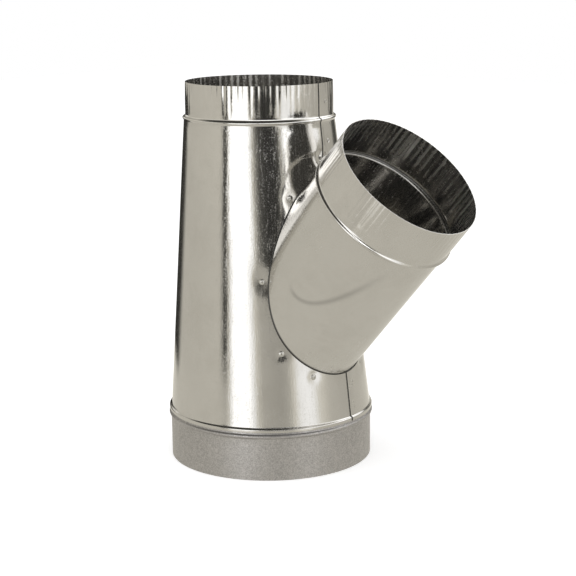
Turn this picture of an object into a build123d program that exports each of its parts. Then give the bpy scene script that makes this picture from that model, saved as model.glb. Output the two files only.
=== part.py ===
from build123d import *
from math import atan, cos, hypot, pi, radians, sin, tan
import os

# A duct wye of thin galvanised sheet: a plain base collar, a tapered run with an offset top,
# and a slanted branch with an oval foot. The origin is the centre of the base rim, +Z runs up
# the duct and +X points to the side of the branch. Lengths are in millimetres, angles in degrees.

# Sheet
sheet_thickness = 0.33
slip_gap = 0.12
lap_width = 16.0

# Base collar
collar_radius = 102.2
collar_bead_height = 44.4
collar_bead_rise = 2.0
collar_bead_half_width = 3.2
collar_bead_crest = 1.9
collar_neck_height = 5.2
collar_sleeve_length = 13.0
collar_seam_angle = 150.0

# Run, from the flared lip to the foot of the top bead
lip_gap = 1.0
lip_skirt = 2.2
lip_reach = 2.4
lip_flare_height = 3.0
lip_crest = 1.3
lip_turn = 3.0
run_foot_step = 0.8
run_head_radius = 75.2
run_length = 287.5
run_offset = -10.4
run_seam_side = 4.2

# Top spigot of the run
run_bead_rise = 1.2
run_bead_lower_width = 2.6
run_bead_upper_width = 3.5
bead_crest = 1.5
run_neck_length = 13.4
run_flute_length = 18.3

# Branch, measured along its axis from where that axis crosses the run's
branch_angle = 41.3
branch_cross_height = 100.4
branch_radius = 72.5
branch_bead_place = 220.3
branch_bead_rise = 2.9
branch_bead_half_width = 3.4
branch_neck_length = 8.0
branch_flute_length = 33.6
branch_seam_side = 1.0

# Spigots and their flutes, the same on both
spigot_radius = 73.6
flute_count = 69
flute_depth = 0.8
rim_draw = 0.3

# Oval foot of the branch, at the station where its loft starts
foot_station = 30.0
foot_half_width = 62.7
foot_half_height = 74.1

# Saddle joint
hole_gap = 0.9
flange_width = 9.0
flange_crotch_extra = 8.0

# Rivets
rivet_angles = (31.0, 71.0, 120.0, 151.0)
rivet_inset = 5.5
crotch_rivet_inset = 12.8
rivet_shank_radius = 1.6
rivet_head_radius = 2.9
rivet_head_height = 1.1
rivet_tail_radius = 2.3
rivet_tail_length = 3.2
rivet_clearance = 0.06

# Heights that follow from the driving dimensions
collar_bead_top = collar_bead_height + collar_bead_half_width
lip_edge_height = collar_bead_top + lip_gap
run_foot_radius = collar_radius - run_foot_step
lip_radius = run_foot_radius + lip_reach
run_foot_height = lip_edge_height + lip_skirt + lip_flare_height
run_head_height = run_foot_height + run_length
run_bead_radius = run_head_radius + run_bead_rise
run_bead_height = run_head_height + run_bead_lower_width
run_neck_height = run_bead_height + run_bead_upper_width
run_flute_height = run_neck_height + run_neck_length
run_rim_height = run_flute_height + run_flute_length
branch_bead_radius = branch_radius + branch_bead_rise
branch_tube_end = branch_bead_place - branch_bead_half_width
branch_neck_start = branch_bead_place + branch_bead_half_width
branch_flute_start = branch_neck_start + branch_neck_length
branch_rim_place = branch_flute_start + branch_flute_length

branch_tilt = radians(branch_angle)
branch_plane = Plane(
    origin=(0, 0, branch_cross_height),
    x_dir=(-cos(branch_tilt), 0, sin(branch_tilt)),
    z_dir=(sin(branch_tilt), 0, cos(branch_tilt)),
)


# Half sections, drawn with the radius along X and the height along Y


def turn_of(root, crest):
    """The angle through which a rolled sheet turns between a hollow root and a crest."""
    return 2 * atan((crest[0] - root[0]) / abs(crest[1] - root[1]))


def root_arc(root, crest, crest_curve, inset):
    """The hollow arc at the root of a ridge, up to where it turns into the crest's arc."""
    turn = turn_of(root, crest)
    curve = abs(crest[1] - root[1]) / sin(turn) - crest_curve
    way = 1 if crest[1] > root[1] else -1

    def at(angle):
        reach = curve + inset
        return (root[0] + curve - reach * cos(angle), root[1] + way * reach * sin(angle))

    return ThreePointArc(at(0), at(turn / 2), at(turn))


def crest_point(crest, crest_curve, inset, angle):
    """A point on a ridge's round crest, at an angle above the crest's own height."""
    reach = crest_curve - inset
    return (crest[0] - crest_curve + reach * cos(angle), crest[1] + reach * sin(angle))


def crest_arc(crest, crest_curve, inset, low_turn, high_turn):
    """The round crest of a ridge, one arc from its low side to its high side."""
    angles = (-low_turn, (high_turn - low_turn) / 2, high_turn)
    return ThreePointArc(*[crest_point(crest, crest_curve, inset, angle) for angle in angles])


def bead(low_root, crest, high_root, crest_curve, inset):
    """A rolled bead: hollow root, round crest, hollow root."""
    return [
        root_arc(low_root, crest, crest_curve, inset),
        crest_arc(crest, crest_curve, inset, turn_of(low_root, crest), turn_of(high_root, crest)),
        root_arc(high_root, crest, crest_curve, inset),
    ]


def turned(edges, low, high):
    """A solid turned about Z from a half section that runs from its low to its high end."""
    edges = edges + [
        Line(high, (0, high[1])),
        Line((0, high[1]), (0, low[1])),
        Line((0, low[1]), low),
    ]
    return Solid.revolve(Face(Wire(edges)).moved(Plane.XZ.location), 360, Axis.Z)


def tapered(low_ring, high_ring):
    """A solid with straight rulings between two closed rings."""
    return Solid.make_loft([low_ring, high_ring], ruled=True)


def ring_of_arcs(height, radius, depth):
    """A closed ring of crest and hollow arcs, two to a flute; with no depth it is a circle."""
    half = pi / flute_count

    def at(reach, angle):
        return (reach * cos(angle), reach * sin(angle), height)

    arcs = []
    for step in range(2 * flute_count):
        middle = step * half
        peak = radius if step % 2 == 0 else radius - depth
        ends = [at(radius - depth / 2, middle + side * half / 2) for side in (-1, 1)]
        arcs.append(ThreePointArc(ends[0], at(peak, middle), ends[1]))
    return Wire(arcs)


def spigot(foot, crest, neck_height, flute_height, rim_height, inset):
    """The bead, plain neck and crimped end that the run and the branch share."""
    neck = (spigot_radius, neck_height)
    neck_end = (spigot_radius - inset, flute_height)
    edges = bead(foot, crest, neck, bead_crest, inset)
    edges.append(Line((spigot_radius - inset, neck_height), neck_end))
    head = turned(edges, (foot[0] - inset, foot[1]), neck_end)
    plain = ring_of_arcs(flute_height, spigot_radius - inset, 0)
    crimped = ring_of_arcs(rim_height, spigot_radius - rim_draw - inset, flute_depth)
    return head + tapered(plain, crimped)


# The run


def run_share(height):
    """How far a height lies along the run's taper, from 0 at its foot to 1 at its head."""
    return (height - run_foot_height) / run_length


def run_centre(height):
    return run_offset * run_share(height)


def run_radius(height):
    return run_foot_radius + (run_head_radius - run_foot_radius) * run_share(height)


def run_section(height, inset):
    plane = Plane(origin=(run_centre(height), 0, height))
    return Wire.make_circle(run_radius(height) - inset, plane)


def run_cone(low, high, inset):
    """The run's offset taper between two heights, set in by a distance."""
    return tapered(run_section(low, inset), run_section(high, inset))


def run_form(inset):
    """The whole run as a filled solid, set in by a distance."""
    crest = (lip_radius, lip_edge_height + lip_skirt)
    foot = (run_foot_radius, run_foot_height)
    turned_in = radians(lip_turn)
    skirt_top = crest_point(crest, lip_crest, inset, -turned_in)
    edge = (skirt_top[0] - (skirt_top[1] - lip_edge_height) * tan(turned_in), lip_edge_height)
    lip = [
        Line(edge, skirt_top),
        crest_arc(crest, lip_crest, inset, turned_in, turn_of(foot, crest)),
        root_arc(foot, crest, lip_crest, inset),
    ]
    low = turned(lip, edge, (run_foot_radius - inset, run_foot_height))
    head = spigot((run_head_radius, run_head_height), (run_bead_radius, run_bead_height),
                  run_neck_height, run_flute_height, run_rim_height, inset)
    return low + run_cone(run_foot_height, run_head_height, inset) + Pos(run_offset, 0, 0) * head


# The branch, drawn upright and then laid along its own axis


def oval(station, half_height, half_width, grow, crotch_extra):
    """A ring across the branch, grown all round and, further, on the side of the crotch."""
    plane = Plane(origin=(crotch_extra / 2, 0, station))
    return Wire.make_ellipse(half_height + grow + crotch_extra / 2, half_width + grow, plane)


def branch_tube(grow, crotch_extra=0.0):
    """The filled tube, oval at its foot and round where its bead starts."""
    low = oval(foot_station, foot_half_height, foot_half_width, grow, crotch_extra)
    high = oval(branch_tube_end, branch_radius, branch_radius, grow, crotch_extra)
    return tapered(low, high)


def branch_form(inset):
    """The whole branch as a filled solid, set in by a distance."""
    head = spigot((branch_radius, branch_tube_end), (branch_bead_radius, branch_bead_place),
                  branch_neck_start, branch_flute_start, branch_rim_place, inset)
    return branch_tube(-inset) + head


def laid(shape):
    """A shape drawn upright, moved to lie along the branch."""
    return branch_plane.location * shape


def lap(form, low, high, side, angle=0.0):
    """The second layer of a rolled seam: a strip of the form grown outwards by one sheet."""
    reach = 2 * collar_radius
    block = Pos(reach / 2, side + lap_width / 2, (low + high) / 2) * Box(reach, lap_width, high - low)
    return form(-sheet_thickness) & (Rot(0, 0, angle) * block)


# The saddle joint and its rivets

double_sheet = 2 * sheet_thickness + slip_gap


def rivet_seat(angle, clear):
    """The plane on the run's outside where a rivet stands, a distance clear of the branch."""

    def place(station):
        share = (station - foot_station) / (branch_tube_end - foot_station)
        high = foot_half_height + (branch_radius - foot_half_height) * share
        wide = foot_half_width + (branch_radius - foot_half_width) * share
        reach = high * wide / hypot(wide * cos(angle), high * sin(angle)) + clear
        return branch_plane.from_local_coords(Vector(reach * cos(angle), reach * sin(angle), station))

    def outside(point):
        return hypot(point.X - run_centre(point.Z), point.Y) > run_radius(point.Z)

    inner, outer = foot_station, branch_tube_end
    while outer - inner > 1e-6:
        middle = (inner + outer) / 2
        if outside(place(middle)):
            outer = middle
        else:
            inner = middle
    point = place(outer)
    across = Vector(point.X - run_centre(point.Z), point.Y, 0).normalized()
    centre_lean = run_offset / run_length
    radius_lean = (run_head_radius - run_foot_radius) / run_length
    normal = Vector(across.X, across.Y, -(across.X * centre_lean + radius_lean))
    return Plane(origin=point, z_dir=normal)


def rivet_seats():
    """One seat at the crotch and a pair, left and right, at each rivet angle."""
    seats = [rivet_seat(0.0, crotch_rivet_inset)]
    for angle in rivet_angles:
        seats += [rivet_seat(side * radians(angle), rivet_inset) for side in (-1, 1)]
    return seats


def rivet():
    """A blind rivet: domed head outside, shank through both sheets, round tail inside."""
    under_head = rivet_clearance
    over_tail = -double_sheet - 2 * rivet_clearance
    tail_end = over_tail - rivet_tail_length
    dome = (rivet_head_radius**2 + rivet_head_height**2) / (2 * rivet_head_height)
    half_turn = atan(rivet_head_height / rivet_head_radius)
    shoulder = (dome * sin(half_turn), under_head + rivet_head_height - dome * (1 - cos(half_turn)))
    outline = [
        Line((0, tail_end), (rivet_shank_radius, tail_end)),
        Line((rivet_shank_radius, tail_end), (rivet_tail_radius, tail_end + rivet_shank_radius / 2)),
        Line((rivet_tail_radius, tail_end + rivet_shank_radius / 2), (rivet_tail_radius, over_tail)),
        Line((rivet_tail_radius, over_tail), (rivet_shank_radius, over_tail)),
        Line((rivet_shank_radius, over_tail), (rivet_shank_radius, under_head)),
        Line((rivet_shank_radius, under_head), (rivet_head_radius, under_head)),
        ThreePointArc((rivet_head_radius, under_head), shoulder, (0, under_head + rivet_head_height)),
        Line((0, under_head + rivet_head_height), (0, tail_end)),
    ]
    return Solid.revolve(Face(Wire(outline)).moved(Plane.XZ.location), 360, Axis.Z)


def rivet_hole():
    """The hole that a rivet's shank passes through, longer than both sheets together."""
    length = 4 * (double_sheet + rivet_clearance)
    return Pos(0, 0, -double_sheet / 2) * Cylinder(rivet_shank_radius + rivet_clearance, length)


def drilled(sheet):
    """A sheet with every rivet's hole in it."""
    for seat in rivet_seats():
        sheet = sheet - seat.location * rivet_hole()
    return sheet


# The separate pieces


def collar_form(inset):
    """The base collar as a filled solid, with the sleeve that tucks up inside the run."""
    crest = (collar_radius + collar_bead_rise, collar_bead_height)
    roots = [(collar_radius, collar_bead_height + side * collar_bead_half_width) for side in (-1, 1)]
    sleeve = run_foot_radius - sheet_thickness - slip_gap - inset
    neck_top = (sleeve, collar_bead_top + collar_neck_height)
    top = (sleeve, run_foot_height)
    wall = [Line((collar_radius - inset, 0), (collar_radius - inset, roots[0][1]))]
    wall += bead(roots[0], crest, roots[1], collar_bead_crest, inset)
    wall += [Line((collar_radius - inset, roots[1][1]), neck_top), Line(neck_top, top)]
    inside = inset + sheet_thickness + slip_gap
    tuck = run_cone(run_foot_height, run_foot_height + collar_sleeve_length, inside)
    return turned(wall, (collar_radius - inset, 0), top) + tuck


def base_collar():
    """The plain collar: its seam is at the back and stops under the run's lip."""
    seam = lap(collar_form, 0, collar_bead_top, 0, collar_seam_angle)
    return collar_form(0) + seam - collar_form(sheet_thickness)


def run_body():
    """The tapered sheet with its lip, bead, crimped spigot, seam and saddle hole."""
    seam = lap(run_form, lip_edge_height, run_rim_height, run_seam_side)
    sheet = run_form(0) + seam - run_form(sheet_thickness)
    return drilled(sheet - laid(branch_tube(hole_gap)))


def branch_pipe():
    """The branch with its seam and the flange that lies inside the run around the hole."""
    seam = lap(branch_form, foot_station, branch_rim_place, branch_seam_side)
    pipe = laid(branch_form(0) + seam - branch_form(sheet_thickness))
    within = run_cone(run_foot_height, run_head_height, sheet_thickness + slip_gap)
    hollow = run_cone(run_foot_height, run_head_height, double_sheet)
    flange = laid(branch_tube(flange_width, flange_crotch_extra) - branch_tube(-sheet_thickness))
    return drilled((pipe - hollow) + ((within - hollow) & flange))


def saddle_rivets():
    """The rivets around the saddle, as one group of separate solids."""
    return Compound([seat.location * rivet() for seat in rivet_seats()])


os.makedirs("parts", exist_ok=True)
export_step(base_collar(), "parts/base_collar.step")
export_step(run_body(), "parts/run_body.step")
export_step(branch_pipe(), "parts/branch_pipe.step")
export_step(saddle_rivets(), "parts/saddle_rivets.step")
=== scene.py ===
"""Looks of the duct y branch: high-resolution sheet surfaces, rivets, galvanised finishes and the studio.

Every length is in metres, in the frame of the CAD model: the origin is the centre of the base rim,
+Z runs up the duct and +X points to the side of the branch.
"""

import logging
from collections.abc import Callable
from dataclasses import dataclass
from enum import Enum
from math import atan, cos, pi, radians, sin, tan

import bpy
import numpy as np
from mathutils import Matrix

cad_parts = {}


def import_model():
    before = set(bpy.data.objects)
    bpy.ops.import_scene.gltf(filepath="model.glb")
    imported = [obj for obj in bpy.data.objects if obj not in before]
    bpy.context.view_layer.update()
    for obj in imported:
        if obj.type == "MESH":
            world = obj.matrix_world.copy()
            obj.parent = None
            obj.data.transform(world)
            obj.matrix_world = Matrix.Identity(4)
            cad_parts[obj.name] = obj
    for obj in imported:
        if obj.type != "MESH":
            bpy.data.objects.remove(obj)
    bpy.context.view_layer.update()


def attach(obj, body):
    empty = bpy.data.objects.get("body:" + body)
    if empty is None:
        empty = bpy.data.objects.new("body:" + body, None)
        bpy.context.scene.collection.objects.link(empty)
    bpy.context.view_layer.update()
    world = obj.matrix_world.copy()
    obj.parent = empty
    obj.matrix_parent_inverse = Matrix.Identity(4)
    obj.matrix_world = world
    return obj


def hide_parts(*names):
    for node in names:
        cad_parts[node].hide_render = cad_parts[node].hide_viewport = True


log = logging.getLogger("duct_y_branch")

MM = 0.001
SHEET = 0.33 * MM
SLIP_GAP = 0.12 * MM
WELD_GRID = 0.0002 * MM
FLUTES = 69
WHITE = (1.0, 1.0, 1.0, 1.0)


# Surfaces as whole arrays


def smooth_step(low: float, high: float, value: np.ndarray) -> np.ndarray:
    """Rises from 0 at low to 1 at high with level ends: 3t² - 2t³, where t is the clipped share of the way.

    Args:
        low: Value at which the step starts.
        high: Value at which it ends; it may be the smaller of the two.
        value: Values to weigh.

    Returns:
        The weights, as an array of value's shape.
    """
    share = np.clip((value - low) / (high - low), 0.0, 1.0)
    return share * share * (3.0 - 2.0 * share)


def turn_of(root: tuple[float, float], crest: tuple[float, float]) -> float:
    """Returns the angle through which a rolled sheet turns between a hollow root and a crest."""
    return 2 * atan((crest[0] - root[0]) / abs(crest[1] - root[1]))


def root_arc(root: tuple[float, float], crest: tuple[float, float], crest_curve: float,
             inset: float, steps: int) -> np.ndarray:
    """A hollow arc from a ridge's root to where its crest starts.

    The arc's centre lies straight out from the root; its reach is the length that makes it meet the
    crest's arc with a shared tangent, plus the inset.

    Args:
        root: Radius and height at which the ridge leaves the plain wall.
        crest: Radius and height of the ridge's outermost point.
        crest_curve: Radius of the crest's own arc.
        inset: Distance from the outside of the sheet, inwards.
        steps: Number of points.

    Returns:
        An array of radius and height pairs, from the root outwards.
    """
    turn = turn_of(root, crest)
    curve = abs(crest[1] - root[1]) / sin(turn) - crest_curve
    way = 1.0 if crest[1] > root[1] else -1.0
    angle = np.linspace(0.0, turn, steps)
    reach = curve + inset
    return np.stack([root[0] + curve - reach * np.cos(angle), root[1] + way * reach * np.sin(angle)], axis=-1)


def crest_arc(crest: tuple[float, float], crest_curve: float, inset: float,
              low: float, high: float, steps: int) -> np.ndarray:
    """A round crest: points at the crest's reach, from one angle to another about its centre.

    Args:
        crest: Radius and height of the outermost point.
        crest_curve: Radius of the arc on the outside.
        inset: Distance from the outside, inwards.
        low: First angle above the crest's own height.
        high: Last angle.
        steps: Number of points.

    Returns:
        An array of radius and height pairs.
    """
    angle = np.linspace(low, high, steps)
    reach = crest_curve - inset
    radius, height = crest[0] - crest_curve + reach * np.cos(angle), crest[1] + reach * np.sin(angle)
    return np.stack([radius, height], axis=-1)


def bead_arcs(low_root: tuple[float, float], crest: tuple[float, float], high_root: tuple[float, float],
              crest_curve: float, inset: float, steps: int = 6) -> np.ndarray:
    """A rolled bead as one run of points: hollow root, round crest, hollow root.

    Args:
        low_root: Radius and height of the lower root.
        crest: Radius and height of the crest.
        high_root: Radius and height of the upper root.
        crest_curve: Radius of the crest's arc on the outside.
        inset: Distance from the outside, inwards.
        steps: Points on each root's arc.

    Returns:
        An array of radius and height pairs, from low to high.
    """
    first = root_arc(low_root, crest, crest_curve, inset, steps)
    turns = (-turn_of(low_root, crest), turn_of(high_root, crest))
    middle = crest_arc(crest, crest_curve, inset, *turns, steps + 3)
    last = root_arc(high_root, crest, crest_curve, inset, steps)[::-1]
    return np.concatenate([first, middle[1:-1], last])


def through_sheet(outer: np.ndarray, inner: np.ndarray, share: np.ndarray) -> tuple[np.ndarray, np.ndarray]:
    """Radii and heights of rows that run at a share of the way through the sheet.

    Args:
        outer: Radius and height pairs of the outside.
        inner: The same of the inside.
        share: Share of each column, 0 on the outside and 1 on the inside.

    Returns:
        Radii and heights, each as rows of columns.
    """
    return (outer[:, :1] * (1 - share) + inner[:, :1] * share,
            outer[:, 1:] * (1 - share) + inner[:, 1:] * share)


def turned(radius: np.ndarray, height: np.ndarray, angle: np.ndarray) -> np.ndarray:
    """Points about the Z axis from their radii, heights and angles."""
    return np.stack([radius * np.cos(angle), radius * np.sin(angle), height], axis=-1)


class SheetMesh:
    """Collects grids of points and the quads between them, and turns them into one closed mesh."""

    def __init__(self) -> None:
        """Starts with no points and no faces."""
        self.points: list[np.ndarray] = []
        self.shades: list[np.ndarray] = []
        self.quads: list[np.ndarray] = []
        self.count = 0

    def add(self, grid: np.ndarray, shade: np.ndarray | float = 0.0) -> np.ndarray:
        """Stores points.

        Args:
            grid: Points as an array whose last axis is X, Y and Z.
            shade: Painted shade of each point, up to 1, which darkens its colour in a gap or a hollow;
            or below 0 how far a tool has rubbed it dull, down to -1.

        Returns:
            Their indices, in the grid's own layout.
        """
        index = self.count + np.arange(grid[..., 0].size).reshape(grid.shape[:-1])
        self.points.append(grid.reshape(-1, 3))
        self.shades.append(np.broadcast_to(shade, grid.shape[:-1]).reshape(-1))
        self.count += index.size
        return index

    def skin(self, index: np.ndarray, outward: bool, wrap: bool = True) -> None:
        """Covers a grid of indices with quads.

        Args:
            index: Indices as rows of columns.
            outward: Whether the faces look the way of column step crossed with row step.
            wrap: Whether the last column joins the first.
        """
        if wrap:
            index = np.concatenate([index, index[:, :1]], axis=1)
        corners = [index[:-1, :-1], index[:-1, 1:], index[1:, 1:], index[1:, :-1]]
        quads = np.stack(corners, axis=-1).reshape(-1, 4)
        self.quads.append(quads if outward else quads[:, ::-1])

    def close(self, outer: np.ndarray, inner: np.ndarray, outward: bool) -> None:
        """Closes the sheet between its outside and its inside, at the first row and at the last."""
        self.skin(np.stack([inner[0], outer[0]]), outward)
        self.skin(np.stack([outer[-1], inner[-1]]), outward)

    def build(self, name: str, sharp: float = radians(38.0)) -> bpy.types.Object:
        """Makes the object: welds doubled points, drops flat faces, smooths and marks sharp edges.

        Args:
            name: Name of the object and its mesh.
            sharp: Angle between faces above which their edge is sharp.

        Returns:
            The object, linked to the scene and riding on the part's one body.
        """
        points = np.concatenate(self.points)
        quads = np.concatenate(self.quads)
        keys = np.round(points / WELD_GRID).astype(np.int64)
        _, first, back = np.unique(keys, axis=0, return_index=True, return_inverse=True)
        used, quads = np.unique(back.reshape(-1)[quads], return_inverse=True)
        quads = quads.reshape(-1, 4)
        points, shades = points[first][used], np.concatenate(self.shades)[first][used]
        same = [quads[:, i] == quads[:, (i + 1) % 4] for i in range(4)]
        edges_lost = np.sum(same, axis=0)
        faces = quads[edges_lost == 0].tolist()
        for i in range(4):
            only = (edges_lost == 1) & same[i]
            faces += np.delete(quads[only], i, axis=1).tolist()
        mesh = bpy.data.meshes.new(name)
        mesh.from_pydata(points.tolist(), [], faces)
        # Painted shade per point, read by the materials to darken the colour in gaps and hollows; values
        # below 0 mark rubbed dull sheet.
        painted_shade = mesh.attributes.new("painted_shade", "FLOAT", "POINT")
        painted_shade.data.foreach_set("value", shades.astype(np.float32))
        mesh.validate()
        mesh.polygons.foreach_set("use_smooth", np.ones(len(mesh.polygons), dtype=bool))
        mesh.set_sharp_from_angle(angle=sharp)
        mesh.update()
        made = bpy.data.objects.new(name, mesh)
        bpy.context.scene.collection.objects.link(made)
        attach(made, "root")
        return made


# Shapes that both spigots share


@dataclass(frozen=True)
class Spigot:
    """A rolled bead, a plain neck and a crimped end, turned about the local Z axis."""

    foot_radius: float
    foot_height: float
    bead_rise: float
    bead_lower: float
    bead_upper: float
    neck_length: float
    flute_length: float
    radius: float = 73.6 * MM
    crest_curve: float = 1.5 * MM
    flute_depth: float = 0.8 * MM
    flute_power: float = 1.5
    flute_ease: float = 0.16
    flute_runout: float = 0.0
    rim_draw: float = 0.3 * MM
    rub: float = 0.9
    rows: int = 10
    neck_rows: tuple[float, ...] = (-0.85, -0.7, -0.5, -0.25)

    @property
    def bead_height(self) -> float:
        """Height of the bead's crest."""
        return self.foot_height + self.bead_lower

    @property
    def neck_height(self) -> float:
        """Height at which the bead ends and the plain neck starts."""
        return self.bead_height + self.bead_upper

    @property
    def flute_height(self) -> float:
        """Height at which the flutes start."""
        return self.neck_height + self.neck_length

    def section(self, inset: float) -> np.ndarray:
        """The bead and the plain neck as radius and height pairs, from the foot up."""
        foot = (self.foot_radius, self.foot_height)
        crest = (self.foot_radius + self.bead_rise, self.bead_height)
        return bead_arcs(foot, crest, (self.radius, self.neck_height), self.crest_curve, inset)

    def groove(self, angle: np.ndarray) -> np.ndarray:
        """A raised cosine of the angle: 1 in the middle of each flute's groove and 0 on the ribs."""
        return 0.5 - 0.5 * np.cos(FLUTES * angle)

    def number(self, angle: np.ndarray) -> np.ndarray:
        """Number of the flute at each angle, counted round from the seam."""
        return np.floor(FLUTES * angle / (2 * pi) + 1e-6)

    def crimp(self, angle: np.ndarray, share: np.ndarray) -> np.ndarray:
        """How far the crimped wall lies inside the plain radius.

        A flute is a narrow pressed groove between two wide ribs: the groove's depth follows a raised
        cosine of the angle to a power, and grows with the share of the way up. Each groove is pressed a
        little more or less than the next, by a product of cosines of its number.

        Args:
            angle: Angles about the axis.
            share: Share of the way from the flutes' start to the rim; below 0 it is the share of the way
                back down the neck, over which a shallow rest of each groove runs out.

        Returns:
            Depths, positive inwards.
        """
        groove = self.groove(angle) ** self.flute_power
        number = self.number(angle)
        uneven = 0.78 + 0.22 * np.cos(2.4 * number + 0.6) * np.cos(5.3 * number)
        reach = smooth_step(0.0, self.flute_ease, share) * (0.55 + 0.45 * share)
        reach = self.flute_runout * smooth_step(-1.0, -0.5, share) + (1.0 - self.flute_runout) * reach
        return self.flute_depth * uneven * groove * reach + self.rim_draw * np.maximum(share, 0.0)

    def shades(self, angle: np.ndarray, faces_out: bool) -> np.ndarray:
        """Shades of the inside: painted shade in the hollow behind the bead, and dull rubbed lines along the
        flutes.

        The crimping wheels rub each rib that the flutes press into the inside, one more than the next,
        by a product of cosines of its number, and less towards the flutes' start.

        Args:
            angle: Angle of each column.
            faces_out: Whether the rows belong to the outside of the sheet, which stays plain.

        Returns:
            The shade of each point of rings.
        """
        bead = self.section(SHEET).shape[0]
        neck = bead + len(self.neck_rows)
        shade = np.zeros((neck + self.rows, angle.size))
        # Painted shade darkens the bead's hollow on the inside.
        shade[:bead] = 0.75 * np.sin(np.linspace(0.0, pi, bead))[:, None] ** 0.5
        number = self.number(angle)
        uneven = 0.55 + 0.45 * np.cos(1.7 * number) * np.cos(4.1 * number + 0.9)
        up = np.linspace(0.0, 1.0, self.rows)[:, None]
        shade[neck:] = -self.rub * self.groove(angle) ** 1.5 * uneven * smooth_step(-0.15, 0.35, up)
        return shade * float(not faces_out)

    def rings(self, angle: np.ndarray, inset: np.ndarray) -> np.ndarray:
        """The whole spigot as rows of points, one row to a height.

        Args:
            angle: Angle of each column.
            inset: Inward offset of each column from the outside of the sheet.

        Returns:
            An array of rows, columns, and X, Y and Z.
        """
        radius, height = through_sheet(self.section(0.0), self.section(SHEET), inset / SHEET)
        share = np.concatenate([self.neck_rows, np.linspace(0.0, 1.0, self.rows) ** 1.15])[:, None]
        length = np.where(share < 0, self.neck_length, self.flute_length)
        crimped = self.radius - inset - self.crimp(angle, share)
        risen = self.flute_height + length * share + 0 * crimped
        return turned(np.concatenate([radius, crimped]), np.concatenate([height, risen]), angle)


@dataclass(frozen=True)
class LapColumns:
    """The columns around a sheet, with both cut edges of its lap seam doubled.

    Going round, the outer layer starts at its cut edge, lies on the inner layer up to that layer's own
    cut edge, and then eases back on to the plain surface over the fade.
    """

    count: int
    outer_edge: int
    inner_edge: int
    fade: int
    stand_off: float = 0.5

    def steps(self) -> np.ndarray:
        """Column numbers, each cut edge's given twice."""
        return np.sort(np.concatenate([np.arange(self.count), [self.outer_edge, self.inner_edge]]))

    def signed(self) -> np.ndarray:
        """Column numbers counted both ways from the seam, each cut edge's given twice."""
        step = self.steps()
        return np.where(step > self.count // 2, step - self.count, step)

    def lifts(self) -> tuple[np.ndarray, np.ndarray]:
        """How far the outside and the inside of the sheet stand off their plain surfaces.

        Returns:
            The outer and the inner lift of each column, in metres.
        """
        step = self.steps()
        order = np.arange(step.size)
        ease = 1.0 - smooth_step(self.inner_edge, self.inner_edge + self.fade, step.astype(float))
        outer = np.where(order > self.outer_edge, ease, 0.0)
        outer = outer + np.where(order == self.outer_edge + 1, self.stand_off, 0.0)
        inner = np.where(order > self.inner_edge + 1, ease, 0.0)
        return SHEET * outer, SHEET * inner

    def painted_shade(self) -> np.ndarray:
        """Painted shade on the two columns at the foot of the outer layer's cut edge, where the seam's gap
        lies dark.
        """
        order = np.arange(self.count + 2)
        return (order == self.outer_edge) + 0.8 * (order == self.outer_edge - 1)

    def angles(self, outer_at: np.ndarray, inner_at: np.ndarray, reach: int) -> np.ndarray:
        """Column angles, drawn over so that the cut edges run where they should.

        Each column's even angle is moved by a share of its cut edge's own move; the share falls in a
        straight line to nothing at the other cut edge and at the reach.

        Args:
            outer_at: Angle of the outer cut edge in each row.
            inner_at: Angle of the inner cut edge in each row.
            reach: Columns beyond the cut edges over which the move dies out.

        Returns:
            An array of rows and columns.
        """
        pitch = 2 * pi / self.count
        signed = self.signed()
        ends = [self.outer_edge - reach, self.outer_edge, self.inner_edge, self.inner_edge + reach]
        to_outer = np.interp(signed, ends, [0.0, 1.0, 0.0, 0.0])
        to_inner = np.interp(signed, ends, [0.0, 0.0, 1.0, 0.0])
        move_outer = outer_at[:, None] - self.outer_edge * pitch
        move_inner = inner_at[:, None] - self.inner_edge * pitch
        return signed[None, :] * pitch + to_outer[None, :] * move_outer + to_inner[None, :] * move_inner


# The run


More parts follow.
